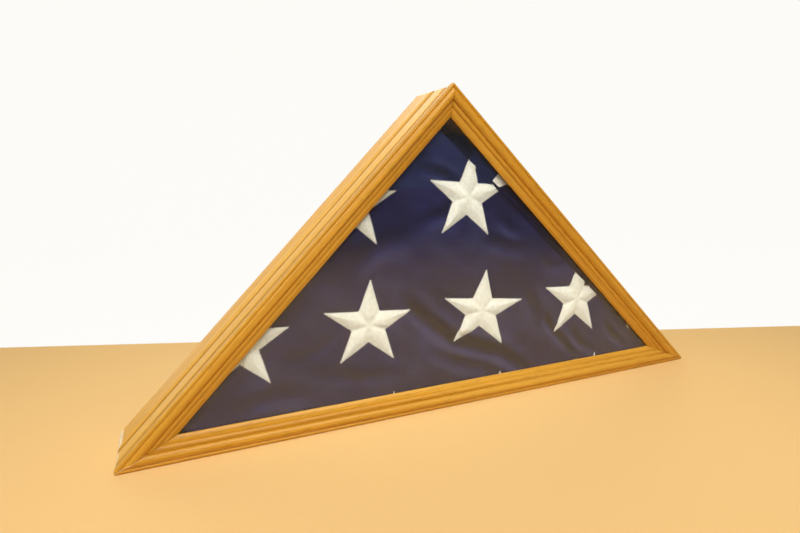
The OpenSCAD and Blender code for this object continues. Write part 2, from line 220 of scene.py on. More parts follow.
def lacquered_oak(name, pale, honey, dark, coat):
    """Stained oak under a coat of satin lacquer: broad figure, ring lines 2 to 3 mm apart, and short open
    pores. It gives a warm, faintly streaky gold with a soft sheen, with painted shade (a darker brown) in
    the joints behind the moulding. Real pores are 0.2 mm wide, and are drawn 0.7 mm wide here so that they
    show."""
    material, tree, shader = new_material(name)
    board = add(tree, "ShaderNodeAttribute", attribute_name="grain").outputs["Vector"]

    def streaks(per_m_along, per_m_across, detail, roughness=0.55):
        scaled = add(tree, "ShaderNodeMapping",
                     {"Vector": board, "Scale": (per_m_along, per_m_across, per_m_across)})
        return add(tree, "ShaderNodeTexNoise", {"Vector": scaled.outputs[0], "Scale": 1.0,
                                                "Detail": detail, "Roughness": roughness}).outputs["Fac"]

    figure = add(tree, "ShaderNodeValToRGB", {"Fac": streaks(3, 70, 3)},
                 stops=[(0.3, honey), (0.7, pale)])
    rings = add(tree, "ShaderNodeMapRange", {"Value": streaks(3, 420, 2), "From Min": 0.6,
                                             "From Max": 0.4, "To Min": 0.0, "To Max": 0.4})
    ringed = add(tree, "ShaderNodeMix", {0: rings.outputs[0], 6: figure.outputs[0], 7: linear(dark)},
                 data_type="RGBA")
    fibres = streaks(30, 1200, 2)
    fibre_shade = add(tree, "ShaderNodeMapRange", {"Value": fibres, "From Min": 0.3, "From Max": 0.7,
                                                   "To Min": 0.93, "To Max": 1.05})
    pores = add(tree, "ShaderNodeMapRange", {"Value": streaks(95, 1400, 0), "From Min": 0.66,
                                             "From Max": 0.75, "To Min": 1.0, "To Max": 0.78})
    shade = add(tree, "ShaderNodeMath", {0: fibre_shade.outputs[0], 1: pores.outputs[0]},
                operation="MULTIPLY")
    clean = add(tree, "ShaderNodeVectorMath", {0: ringed.outputs[2], 1: shade.outputs[0]},
                operation="MULTIPLY")
    # Painted shade in the grooves between the boards: there the colour is mixed up to three quarters of the
    # way to dark brown
    groove_shade = add(tree, "ShaderNodeAttribute", attribute_name="groove_shade").outputs["Fac"]
    painted_groove_shade = add(tree, "ShaderNodeMath", {0: groove_shade, 1: 0.75}, operation="MULTIPLY")
    colour = add(tree, "ShaderNodeMix", {0: painted_groove_shade.outputs[0], 6: clean.outputs[0],
                                         7: linear("#70400F")}, data_type="RGBA")
    tree.links.new(colour.outputs[2], shader.inputs["Base Color"])
    gloss = add(tree, "ShaderNodeMapRange", {"Value": fibres, "To Min": 0.4, "To Max": 0.52})
    tree.links.new(gloss.outputs[0], shader.inputs["Roughness"])
    bump = add(tree, "ShaderNodeBump", {"Height": shade.outputs[0], "Strength": 0.3,
                                        "Distance": 0.2 * MM})
    tree.links.new(bump.outputs[0], shader.inputs["Normal"])
    shader.inputs["Specular IOR Level"].default_value = 0.15
    shader.inputs["Coat Weight"].default_value = coat
    shader.inputs["Coat Roughness"].default_value = 0.28
    shader.inputs["Coat IOR"].default_value = 1.5
    return material


def bare_oak():
    """Bare sawn oak at the mitres and sanded tips, where neither stain nor lacquer reached: pale cream and
    dry, with the darker specks of its end grain."""
    material, tree, shader = new_material("bare sawn oak")
    place = add(tree, "ShaderNodeTexCoord").outputs["Object"]
    specks = add(tree, "ShaderNodeTexNoise", {"Vector": place, "Scale": 900.0, "Detail": 2.0})
    colour = add(tree, "ShaderNodeValToRGB", {"Fac": specks.outputs["Fac"]},
                 stops=[(0.35, "#EAD2A0"), (0.6, "#FFF4D6")])
    tree.links.new(colour.outputs[0], shader.inputs["Base Color"])
    shader.inputs["Roughness"].default_value = 0.8
    return material


# The moulding's section as (inset, depth) in mm, from its back round the front to the rabbet
BEAD_R, DOME_R = 2.0, 4.7
BEAD, DOME = (BEAD_R, 3.0), (7.3, DOME_R)  # their middles
REED_EDGE, LIP_EDGE = (16.4, 5.5), (22.4, 8)
RABBET = 9.5  # depth of the rabbet that takes the glass
WOOD = 17  # inset of the wood's inner face


def back_of(node):
    """Depth in mm at which a CAD node ends."""
    return round((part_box(node)[1].y - FRONT) / MM, 2)


def on_dome(inset):
    """The point of the dome at an inset."""
    return inset, DOME_R - math.sqrt(DOME_R ** 2 - (inset - DOME[0]) ** 2)


MOULDING_BACK = back_of("front_moulding_bottom")
quirk, dome_edge = on_dome(3.6), on_dome(11.9)
moulding_section = (
    [(3.8, MOULDING_BACK), (3, 15.2), (1.7, 14.2)]
    + arc(BEAD, BEAD_R, -180, angle_from(BEAD, quirk), 16)
    + arc(DOME, DOME_R, angle_from(DOME, quirk), angle_from(DOME, dome_edge), 24)[1:]
    + swell(dome_edge, REED_EDGE, 1.0, 12)[1:]
    + swell(REED_EDGE, LIP_EDGE, 0.7, 10)[1:]
    + [(22.75, 8.15), (22.9, 8.5), (22.9, RABBET), (WOOD, RABBET), (WOOD, MOULDING_BACK)])
honey_oak = lacquered_oak("honey oak, satin lacquer", "#E0AC42", "#CF9428", "#A8701A", 0.3)
raw_oak = bare_oak()

# Sanding cuts: the way each faces in degrees, its distance from the middle of the base in mm, and whether
# it bares the wood
FLAT_TIP = (0, TIP / MM, True)
moulding_cuts = [FLAT_TIP, (90, 328.8, False)]
for i, node in ((BASE, "front_moulding_bottom"), (RIGHT, "front_moulding_right"),
                (LEFT, "front_moulding_left")):
    stick = mitred_member(node.replace("front_", ""), i, moulding_section, (honey_oak, raw_oak),
                          moulding_cuts, BASE, 0.5 * MM)
    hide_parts(node)
    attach(stick, "root")


# ---------------------------------------------------------------------------- Side and rear boards
# Two more mitred frames of solid oak stand behind the moulding, pinned and glued to it. Their outer
# edges are rounded over, and the groove between them is scratched into the rear boards. Their corners
# are sanded blunt, through the stain to bare wood.
SIDE_BACK, CASE_BACK = back_of("side_board_bottom"), back_of("rear_board_bottom")
GROOVE = 4.4  # inset of the bottom of the groove between the side and the rear boards
PANEL_RABBET, PANEL_INSET = 74.3, 11  # depth and inset of the rabbet that takes the back panel
side_section = [
    (3.8, MOULDING_BACK), (2.4, 16.5), (1.35, 17.2), (1, 18.1), (0.8, 19.5), (0.6, 27.75), (0.8, 35),
    (1, 36.4), (1.35, 37.4), (2.2, 38.5), (GROOVE, SIDE_BACK), (WOOD, SIDE_BACK), (WOOD, MOULDING_BACK)]
rear_section = [
    (GROOVE, SIDE_BACK), (GROOVE, 40.4), (3.6, 41.3), (3.2, 42), (2, 43.1), (0.9, 43.9), (0.45, 44.5),
    (0.12, 45.1), (0, 45.8), (0, 76.6), (0.1, 77.15), (0.42, 77.58), (0.85, 77.9), (1.4, CASE_BACK),
    (PANEL_INSET, CASE_BACK), (PANEL_INSET, PANEL_RABBET), (WOOD, PANEL_RABBET), (WOOD, SIDE_BACK)]
side_oak = lacquered_oak("pale oak, satin lacquer", "#F0C060", "#E6AE3E", "#C88E2C", 0.1)
rear_oak = lacquered_oak("pale oak, rear boards, satin lacquer", "#EEBC5C", "#E2A83C", "#C48A2A", 0.1)
blunt = [FLAT_TIP, (22.5, 301.4, True), (35, 268.2, True), (90, 326.5, True), (67.5, 302.2, True)]
for layer, section, finish in (("side_board", side_section, side_oak),
                               ("rear_board", rear_section, rear_oak)):
    for i, place in ((BASE, "bottom"), (RIGHT, "right"), (LEFT, "left")):
        board = mitred_member(f"{layer}_of_oak_{place}", i, section, (finish, raw_oak), blunt)
        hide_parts(f"{layer}_{place}")
        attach(board, "root")


# ---------------------------------------------------------------------------- Nails and glazing points
# Steel V-nails pull the mitres together, brads and nails hold one frame to the next, and flat steel
# points keep the glass in its rabbet. Only the low domed heads of the rear nails show, on the back edge.
def drawn_steel():
    """Bright drawn steel wire and strip: a cool grey metal with fine drawing lines."""
    material, tree, shader = new_material("drawn steel")
    place = add(tree, "ShaderNodeTexCoord").outputs["Object"]
    lines = add(tree, "ShaderNodeTexNoise", {"Vector": place, "Scale": 700.0, "Detail": 3.0})
    colour = add(tree, "ShaderNodeValToRGB", {"Fac": lines.outputs["Fac"]},
                 stops=[(0.3, "#8C8E92"), (0.7, "#B4B6B8")])
    gloss = add(tree, "ShaderNodeMapRange", {"Value": lines.outputs["Fac"], "To Min": 0.3, "To Max": 0.5})
    tree.links.new(colour.outputs[0], shader.inputs["Base Color"])
    tree.links.new(gloss.outputs[0], shader.inputs["Roughness"])
    shader.inputs["Metallic"].default_value = 1.0
    return material


def dress(node, finish):
    """Puts a finish on every material slot of a CAD node."""
    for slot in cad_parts[node].material_slots:
        slot.material = finish


def repeated(name, places, edges, build):
    """The mesh that a Geometry Nodes tree makes from places joined by edges. build(tree, interface) adds
    the nodes and gives the last socket, the material and the values of the tree's named inputs."""
    data = bpy.data.meshes.new(name)
    data.from_pydata([tuple(p) for p in places], edges, [])
    seed = put(name, data)
    tree = bpy.data.node_groups.new(name, "GeometryNodeTree")
    interface = tree.interface
    interface.new_socket("Geometry", in_out="INPUT", socket_type="NodeSocketGeometry")
    interface.new_socket("Geometry", in_out="OUTPUT", socket_type="NodeSocketGeometry")
    last, finish, values = build(tree, interface)
    real = add(tree, "GeometryNodeRealizeInstances", {0: last})
    painted = add(tree, "GeometryNodeSetMaterial", {"Geometry": real.outputs[0], "Material": finish})
    add(tree, "NodeGroupOutput", {0: painted.outputs[0]})
    modifier = seed.modifiers.new(name, "NODES")
    modifier.node_group = tree
    for item in interface.items_tree:
        if item.in_out == "INPUT" and item.name in values:
            modifier[item.identifier] = values[item.name]
    bpy.context.view_layer.update()
    plain = bpy.data.meshes.new_from_object(seed.evaluated_get(bpy.context.evaluated_depsgraph_get()))
    seed.modifiers.remove(modifier)
    seed.data = plain
    plain.name = name
    return seed


def number_inputs(interface, values):
    """Gives a tree one named length or count for each value."""
    for name, value in values.items():
        kind = "NodeSocketInt" if isinstance(value, int) else "NodeSocketFloat"
        interface.new_socket(name, in_out="INPUT", socket_type=kind).default_value = value


steel = drawn_steel()
for node in ("glazing_points", "corner_v_nails", "side_brads"):
    dress(node, steel)

NAILS_PER_BOARD = 3
NAIL_INSET = 8 * MM
back_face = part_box("rear_nails")[1].y
nail_places = []
for i in (BASE, RIGHT, LEFT):
    run, inwards = along_and_in(i)
    length = np.linalg.norm(CORNERS[(i + 1) % 3] - CORNERS[i])
    for k in range(NAILS_PER_BOARD):
        x, z = CORNERS[i] + run * length * (k + 0.5) / NAILS_PER_BOARD + inwards * NAIL_INSET
        nail_places.append((x, back_face, z))


def nail_heads(tree, interface):
    """A low dome on each point."""
    values = {"Head radius": 1.5 * MM, "Head height": 0.35 * MM, "Segments": 20, "Rings": 8}
    number_inputs(interface, values)
    given = add(tree, "NodeGroupInput").outputs
    ball = add(tree, "GeometryNodeMeshUVSphere", {"Segments": given["Segments"], "Rings": given["Rings"],
                                                  "Radius": given["Head radius"]})
    smooth = add(tree, "GeometryNodeSetShadeSmooth", {0: ball.outputs[0]})
    flatness = add(tree, "ShaderNodeMath", {0: given["Head height"], 1: given["Head radius"]},
                   operation="DIVIDE")
    squashed = add(tree, "ShaderNodeCombineXYZ", {0: 1.0, 1: flatness.outputs[0], 2: 1.0})
    heads = add(tree, "GeometryNodeInstanceOnPoints", {"Points": given["Geometry"],
                                                       "Instance": smooth.outputs[0],
                                                       "Scale": squashed.outputs[0]})
    return heads.outputs[0], steel, values


heads = repeated("rear_nail_heads", nail_places, [], nail_heads)
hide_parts("rear_nails")
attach(heads, "root")


# ---------------------------------------------------------------------------- Glass
# One triangle of 2.5 mm float glass lies in the moulding's rabbet. It is clear and nearly colourless
# seen square on, and lets the lamps light the flag behind it.
def float_glass():
    """Clear soda-lime float glass: faint green tint, IOR 1.52, polished on both faces."""
    material, tree, shader = new_material("clear float glass")
    shader.inputs["Base Color"].default_value = linear("#F6FBF8")
    shader.inputs["Roughness"].default_value = 0.0
    shader.inputs["IOR"].default_value = 1.52
    shader.inputs["Transmission Weight"].default_value = 1.0
    ray = add(tree, "ShaderNodeLightPath")
    through = add(tree, "ShaderNodeBsdfTransparent", {"Color": linear("#F6FBF8")})
    pane = add(tree, "ShaderNodeMixShader", {0: ray.outputs["Is Shadow Ray"], 1: shader.outputs[0],
                                             2: through.outputs[0]})
    tree.links.new(pane.outputs[0], tree.nodes["Material Output"].inputs["Surface"])
    return material


dress("glass_pane", float_glass())


# ---------------------------------------------------------------------------- Folded flag
# A cotton flag folded in four along its length and then in triangles, stood on its long fold. The blue
# field with its stars is outermost, one thick front fold lies against the glass, and the plies behind
# it stack to the back panel with their edges showing along the right-hand slope.
flag_low, flag_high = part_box("flag")
CLOTH_FRONT = flag_low.y
FRONT_FOLD = 4.5 * MM  # thickness of the front fold
WOOD_INSIDE = WOOD * MM
FLAG_GAP = 2 * MM  # between the bundle and the wood
EDGE_BACK = 4 * MM  # how far the front fold's right edge stops short at its foot
EDGE_LEAN = 2.2  # degrees that this edge leans in
TOP_DROP = 29 * MM  # how far the bundle's top lies below the wood's inner corner
TOP_SLOPE = 40  # degrees


def fold_lines(left_gap, right_gap, lean=0, top_drop=0, top_slope=0, tip_cut=0):
    """The straight edges of a triangular fold, counter-clockwise from its foot, as (point, direction in
    degrees)."""
    half = flag_high.x - tip_cut
    top = np.array((0, APEX - WOOD_INSIDE * math.sqrt(2) - top_drop))
    return [((0, flag_low.z), 0), ((half, 0), 90),
            (inner_corner(RIGHT, WOOD_INSIDE + right_gap), 135 + lean), (top, 180 - top_slope),
            (inner_corner(LEFT, WOOD_INSIDE + left_gap), 225), ((-half, 0), 270)]


def rounded(lines, radius):
    """The outline that the edges enclose, with its corners rounded, counter-clockwise."""
    ways = [np.array((math.cos(math.radians(a)), math.sin(math.radians(a)))) for _, a in lines]
    corners = []
    for k, (point, _) in enumerate(lines):
        other, way, next_way = lines[(k + 1) % len(lines)][0], ways[k], ways[(k + 1) % len(lines)]
        step = np.linalg.solve(np.stack((way, -next_way), 1), np.array(other) - np.array(point))[0]
        corners.append(np.array(point) + way * step)
    outline = []
    for k, corner in enumerate(corners):
        before, after = corners[k - 1] - corner, corners[(k + 1) % len(corners)] - corner
        lengths = np.linalg.norm(before), np.linalg.norm(after)
        before, after = before / lengths[0], after / lengths[1]
        bend = math.acos(np.clip(before @ after, -1, 1))
        reach = min(radius / math.tan(bend / 2), 0.45 * lengths[0], 0.45 * lengths[1])
        r = reach * math.tan(bend / 2)
        middle = corner + (before + after) / np.linalg.norm(before + after) * r / math.sin(bend / 2)
        a0, a1 = (math.atan2(*(corner + way * reach - middle)[::-1]) for way in (before, after))
        turn = (a1 - a0 + math.pi) % (2 * math.pi) - math.pi
        outline += [middle + r * np.array((math.cos(a0 + turn * s), math.sin(a0 + turn * s)))
                    for s in np.linspace(0, 1, 7)]
    return np.array(outline)


def edge_distance(points, outline):
    """Distance from each point to the closed outline."""
    best = np.full(len(points), np.inf)
    for a, b in zip(outline, np.roll(outline, -1, axis=0)):
        way = b - a
        if way @ way > 1e-14:
            t = np.clip(((points - a) @ way) / (way @ way), 0, 1)
            best = np.minimum(best, np.linalg.norm(points - a - t[:, None] * way, axis=1))
    return best


def enclosed(points, outline):
    """Whether each point lies inside the closed outline."""
    inside = np.zeros(len(points), bool)
    for a, b in zip(outline, np.roll(outline, -1, axis=0)):
        if a[1] != b[1]:
            spans = (a[1] > points[:, 1]) != (b[1] > points[:, 1])
            crossing = a[0] + (points[:, 1] - a[1]) / (b[1] - a[1]) * (b[0] - a[0])
            inside ^= spans & (points[:, 0] < crossing)
    return inside


# The sewn stars, as their five tips (x, z) in mm, clockwise from the top. The stitching has pulled the
# first two a little out of true, and the others are regular.
STAR_R = 46.75


def regular_tips(x, z, turn):
    """Tips of a star that kept its shape, from its middle in mm and its turn in degrees."""
    angles = np.radians(72 * np.arange(5) + turn)
    return [(x + STAR_R * math.sin(a), z + STAR_R * math.cos(a)) for a in angles]


STAR_TIPS = [
    [(-87, 142), (-45, 107), (-65, 59), (-121, 62), (-135, 114)],
    [(45, 140), (90, 103), (64, 56), (5, 66), (-5, 114)],
    regular_tips(166.1, 94.9, 3.8), regular_tips(22.7, 218.2, 5.3), regular_tips(-103.3, 216.9, 4.8),
    regular_tips(-215, 93.7, 3.6), regular_tips(-69.4, -24, 5), regular_tips(59, -23, 5),
    regular_tips(192, -21.5, 5)]


def star_outline(tips):
    """A star's ten corners in metres, tip first, with each notch where the lines between tips cross."""
    tips = np.array(tips) * MM
    corners = []
    for k in range(5):
        a, b = tips[k - 1], tips[(k + 1) % 5]
        c, d = tips[k], tips[(k + 2) % 5]
        step = np.linalg.solve(np.stack((b - a, c - d), 1), c - a)[0]
        corners += [tips[k], a + (b - a) * step]
    return np.array(corners)


# Soft creases in the front fold, as (x, z) points along the valley, its half width and its depth, in mm
CREASES = [
    ([(-52, 122), (-39, 108), (-12, 83), (5, 69), (36, 57), (62, 48), (88, 30), (104, 17)], 8, 4.2),
    ([(-20, 66), (8, 48), (40, 37), (60, 22)], 9, 2.0),
    ([(120, 84), (128, 70), (152, 42), (166, 26)], 5, 2.4),
    ([(160, 62), (172, 43), (198, 28)], 5, 2.2),
    ([(208, 62), (220, 47), (243, 28)], 4.5, 2.0),
    ([(92, 120), (106, 98), (116, 72)], 8, 1.2),
    ([(112, 150), (128, 138), (150, 140)], 6, 1.0),
    ([(-34, 196), (-6, 204), (14, 232)], 7, 1.4),
    ([(-34, 250), (-6, 244), (8, 236)], 5, 1.8),
    ([(-120, 150), (-84, 176), (-40, 188)], 10, 1.2),
    ([(40, 176), (70, 166), (104, 160)], 8, 1.4),
    ([(60, 196), (76, 182), (92, 176)], 6, 1.4),
    ([(-232, 34), (-190, 44), (-150, 40)], 8, 1.3),
    ([(-150, 60), (-100, 46), (-56, 44)], 7, 1.2),
    ([(-180, 74), (-150, 78), (-128, 92)], 6, 1.0),
]
# Across a crease, in half widths to its left: a valley, a high ridge on the right and a low one on the
# left, each as (place, share of the crease's depth)
CREASE_SHAPE = [(0, 1), (-1.5, -0.7), (1.6, -0.3)]
SEAM_PULL = 2.2 * MM  # how deep the stitching holds a star's edge below its puffed middle
NOTCH_PULL = 1.1 * MM  # how deep a star is creased at its notches
PUFF = 9 * MM  # width of the slope from a star's seam up to its puffed middle
SEAM_DIP, NOTCH_CREASE = 5 * MM, 2.8 * MM  # reach of the dip outside the seam, and width of those creases
WRINKLES = 0.8 * MM  # depth of the faint wrinkles
RELIEF_MIDDLE = 1.1 * MM  # where smooth cloth lies behind the foremost plane


def nearest_along(points, line):
    """Distance from each point to a line of points, below nought on its right, and how far along the
    line that is, from 0 to 1."""
    best, share = np.full(len(points), np.inf), np.zeros(len(points))
    for k in range(len(line) - 1):
        way, off = line[k + 1] - line[k], points - line[k]
        t = np.clip((off @ way) / (way @ way), 0, 1)
        gap = np.linalg.norm(off - t[:, None] * way, axis=1)
        nearer = gap < np.abs(best)
        best[nearer] = np.copysign(gap, way[0] * off[:, 1] - way[1] * off[:, 0])[nearer]
        share[nearer] = ((k + t) / (len(line) - 1))[nearer]
    return best, share


def star_relief(points):
    """How far the sewn stars pull the cloth back: each is puffed along its arms, held down at its edge,
    and creased from its middle to its notches."""
    relief = np.zeros(len(points))
    for tips in STAR_TIPS:
        outline = star_outline(tips)
        middle = outline.mean(0)
        near = np.linalg.norm(points - middle, axis=1) < 1.3 * STAR_R * MM
        if near.any():
            here = points[near]
            gap, inside = edge_distance(here, outline), enclosed(here, outline)
            slope = (1 - np.clip(gap / PUFF, 0, 1)) ** 1.5
            pull = SEAM_PULL * np.where(inside, slope, np.exp(-gap / SEAM_DIP))
            for notch in outline[1::2]:
                reach, share = nearest_along(here, np.array((middle, notch)))
                fade = np.clip(share * 2.5, 0.15, 1)
                pull += NOTCH_PULL * np.exp(-(reach / NOTCH_CREASE) ** 2) * fade
            relief[near] = np.maximum(relief[near], pull)
    return relief


def creased(points):
    """How far creases push the cloth back at (x, z) points, with faint wrinkles down to the right."""
    depth = np.zeros(len(points))
    for line, half_width, deep in CREASES:
        gap, share = nearest_along(points, np.array(line) * MM)
        fade = np.sin(np.pi * np.clip(share, 0.02, 0.98)) ** 0.6
        off = gap / (half_width * MM)
        across = sum(part * np.exp(-1.6 * (off - place) ** 2) for place, part in CREASE_SHAPE)
        depth += deep * MM * fade * across
    down, across = points @ (0.84, -0.54), points @ (0.54, 0.84)
    waves = [noise.noise((x * 14, z * 20, 3)) + 0.5 * noise.noise((x * 42, z * 55, 8))
             + 0.6 * noise.noise((u * 9, v * 62, 5)) for (x, z), u, v in zip(points, down, across)]
    return depth + WRINKLES * np.array(waves)


def cloth_depth(points):
    """How far the front of the cloth lies behind the foremost plane of the flag, at (x, z) points. It comes
    neither through that plane nor through the fold's own back."""
    depth = star_relief(points) + creased(points) + RELIEF_MIDDLE
    return np.clip(depth, 0.1 * MM, 0.85 * FRONT_FOLD)


# How much of a sheet's height and width the fine grid at its rounded edges takes up, at each end
EDGE_ROWS, EDGE_COLUMNS = 0.02, 0.012


def spread(count, crowded, fine):
    """Shares from 0 to 1 that crowd towards both ends: fine ones within crowded, count between."""
    ends = crowded * (np.linspace(0, 1, fine + 1) ** 1.6)
    middle = np.linspace(crowded, 1 - crowded, count + 1)
    return np.concatenate((ends, middle[1:-1], 1 - ends[::-1]))


def fold_sheet(outline, y, thick, columns, rows, shape=None):
    """One fold as a closed pillow between y and y + thick: its front and back are grids across the
    outline that meet in a round edge. shape(points) pushes the front back."""
    start = min(range(len(outline)), key=lambda k: (round(outline[k, 1], 9), outline[k, 0]))
    ring = np.roll(outline, -start, axis=0)
    peak = int(np.argmax(ring[:, 1]))
    right_side, left_side = ring[:peak + 1], np.concatenate((ring[peak:], ring[:1]))[::-1]
    low, high = ring[0, 1], ring[peak, 1]
    heights = low + (high - low) * spread(rows, EDGE_ROWS, 6)
    shares = spread(columns, EDGE_COLUMNS, 7)
    right_x = np.interp(heights, right_side[:, 1], right_side[:, 0])
    left_x = np.interp(heights, left_side[:, 1], left_side[:, 0])
    right_x[0] = right_side[right_side[:, 1] < low + 1e-9, 0].max()
    x = left_x[:, None] + (right_x - left_x)[:, None] * shares
    flat = np.stack((x.ravel(), np.repeat(heights, len(shares))), 1)
    r = thick / 2
    inside = np.clip(edge_distance(flat, outline) / r, 0, 1)
    roll = r * (1 - np.sqrt(1 - (1 - inside) ** 2))
    front = y + roll + (shape(flat) * inside if shape else 0)
    back = y + thick - roll
    tall, wide = len(heights), len(shares)
    index = np.arange(wide * tall).reshape(tall, wide)
    back_index = index + wide * tall
    for rim in ((0, slice(None)), (-1, slice(None)), (slice(None), 0), (slice(None), -1)):
        back_index[rim] = index[rim]
    verts = np.concatenate((np.stack((flat[:, 0], front, flat[:, 1]), 1),
                            np.stack((flat[:, 0], back, flat[:, 1]), 1)))
    quads = []
    for grid, order in ((index, (0, 1, 2, 3)), (back_index, (3, 2, 1, 0))):
        around = (grid[:-1, :-1], grid[:-1, 1:], grid[1:, 1:], grid[1:, :-1])
        quads.append(np.stack([around[k] for k in order], -1).reshape(-1, 4))
    return verts, np.concatenate(quads)


def dyed_cotton():
    """Navy-dyed plain-weave cotton bunting: deep blue with a fine uneven thread, with a painted highlight
    (paler lavender grey) on the ridges of its creases and painted shade (darker) in their valleys. Its
    threads are 0.5 mm apart, and are drawn 2.6 mm apart here so that they show."""
    material, tree, shader = new_material("navy cotton bunting")
    place = add(tree, "ShaderNodeTexCoord").outputs["Object"]
    threads = []
    for scale in ((380, 380, 40), (40, 380, 380)):
        run = add(tree, "ShaderNodeMapping", {"Vector": place, "Scale": scale})
        threads.append(add(tree, "ShaderNodeTexNoise", {"Vector": run.outputs[0], "Scale": 1.0,
                                                        "Detail": 1.0}).outputs["Fac"])
    weave = add(tree, "ShaderNodeMath", {0: threads[0], 1: threads[1]}, operation="MAXIMUM")
    wear = add(tree, "ShaderNodeTexNoise", {"Vector": place, "Scale": 24.0, "Detail": 5.0})
    dye = add(tree, "ShaderNodeValToRGB", {"Fac": wear.outputs["Fac"]},
              stops=[(0.3, "#10123A"), (0.7, "#1A1B4C")])
    slub = add(tree, "ShaderNodeMapRange", {"Value": weave.outputs[0], "From Min": 0.4, "From Max": 0.7,
                                            "To Min": 0.88, "To Max": 1.12})
    crease_shading = add(tree, "ShaderNodeAttribute", attribute_name="crease_shading").outputs["Fac"]
    # Painted shade: the dye is darkened down to 0.35 of itself in the valleys of the creases
    deep = add(tree, "ShaderNodeMapRange", {"Value": crease_shading, "From Min": -1.0, "From Max": 0.0,
                                            "To Min": 0.35, "To Max": 1.0})
    shade = add(tree, "ShaderNodeMath", {0: slub.outputs[0], 1: deep.outputs[0]}, operation="MULTIPLY")
    navy = add(tree, "ShaderNodeVectorMath", {0: dye.outputs[0], 1: shade.outputs[0]},
               operation="MULTIPLY")
    # Painted highlight: the ridges of the creases are mixed up to halfway towards a pale lavender grey
    painted_ridge_highlight = add(tree, "ShaderNodeMapRange", {"Value": crease_shading, "To Max": 0.5})
    colour = add(tree, "ShaderNodeMix", {0: painted_ridge_highlight.outputs[0], 6: navy.outputs[0], 7: linear("#4C4C7C")},
                 data_type="RGBA")
    tree.links.new(colour.outputs[2], shader.inputs["Base Color"])
    bump = add(tree, "ShaderNodeBump", {"Height": weave.outputs[0], "Strength": 0.25,
                                        "Distance": 0.3 * MM})
    tree.links.new(bump.outputs[0], shader.inputs["Normal"])
    shader.inputs["Roughness"].default_value = 0.9
    shader.inputs["Specular IOR Level"].default_value = 0.2
    shader.inputs["Sheen Weight"].default_value = 0.12
    shader.inputs["Sheen Roughness"].default_value = 0.5
    shader.inputs["Sheen Tint"].default_value = linear("#8C90C8")
    return material


# The front fold's right-hand edge: its foot, and the direction outwards across it
edge_foot = inner_corner(RIGHT, WOOD_INSIDE + FLAG_GAP + EDGE_BACK)
over_edge = np.array((math.cos(math.radians(45 + EDGE_LEAN)), math.sin(math.radians(45 + EDGE_LEAN))))
FOLD_ROUND = 5 * MM  # radius of a fold's corners
front_lines = fold_lines(FLAG_GAP, FLAG_GAP + EDGE_BACK, EDGE_LEAN, TOP_DROP, TOP_SLOPE)
sheets = [fold_sheet(rounded(front_lines, FOLD_ROUND), CLOTH_FRONT, FRONT_FOLD, 250, 124, cloth_depth)]
PLIES = 12
ply = (flag_high.y - CLOTH_FRONT - FRONT_FOLD) / PLIES
SWELL = 3.2 * MM  # how far the fold behind the front one swells out beside it
NEXT_FOLD_EDGE = ((26 * MM, 256 * MM), 245)  # the left edge of that fold, as (point, direction)
next_lines = fold_lines(0, FLAG_GAP)[:3] + [NEXT_FOLD_EDGE]


def swelling(points):
    """How far the fold behind swells forward where it comes out past the front fold's right-hand edge."""
    past = np.clip((points @ over_edge - edge_foot @ over_edge - 0.2 * MM) / (4 * MM), 0, 1)
    return SWELL * past * past * (3 - 2 * past)


sheets.append(fold_sheet(rounded(next_lines, 2 * MM), CLOTH_FRONT + FRONT_FOLD, ply, 80, 36,
                         lambda points: -swelling(points)))
uneven = random.Random(7)
for k in range(1, PLIES):
    # Each fold turns the triangle over, so every second top fold slopes the other way
    slope = TOP_SLOPE * (-1) ** k
    lines = fold_lines(FLAG_GAP + uneven.uniform(0, 1.5) * MM, FLAG_GAP + uneven.uniform(0, 2.5) * MM, 0,
                       TOP_DROP + uneven.uniform(4, 14) * MM, slope, uneven.uniform(0, 5) * MM)
    start = CLOTH_FRONT + FRONT_FOLD + k * ply
    sheets.append(fold_sheet(rounded(lines, FOLD_ROUND), start, ply, 12, 9))
verts, quads, count = [], [], 0
for sheet_verts, sheet_quads in sheets:
    verts.append(sheet_verts)
    quads.append(sheet_quads + count)
    count += len(sheet_verts)


def smooth_piece(name, verts, faces, finish, outwards=True):
    """A smooth-shaded object from points and faces, without loose points or faces of no area."""
    data = bpy.data.meshes.new(name)
    data.from_pydata(verts, [], faces)
    mesh = bmesh.new()
    mesh.from_mesh(data)
    bmesh.ops.delete(mesh, geom=[v for v in mesh.verts if not v.link_faces], context="VERTS")
    bmesh.ops.dissolve_degenerate(mesh, dist=1e-7, edges=mesh.edges[:])
    if outwards:
        bmesh.ops.recalc_face_normals(mesh, faces=mesh.faces[:])
    mesh.to_mesh(data)
    mesh.free()
    data.shade_smooth()
    data.materials.append(finish)
    return put(name, data)


flag = smooth_piece("folded_flag", np.concatenate(verts).tolist(), np.concatenate(quads).tolist(),
                    dyed_cotton())
# Painted light and shade for the front fold's creases, from their depth: towards +1 on ridges for the
# painted highlight, towards -1 in valleys for the painted shade
crease_shading = flag.data.attributes.new("crease_shading", "FLOAT", "POINT")
places = np.array([v.co for v in flag.data.vertices])
outermost = places[:, 1] < CLOTH_FRONT + FRONT_FOLD
ridges = np.where(outermost, np.clip(creased(places[:, [0, 2]]) / (-2 * MM), -1, 1), 0)
crease_shading.data.foreach_set("value", ridges.astype(np.float32))
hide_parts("flag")
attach(flag, "root")


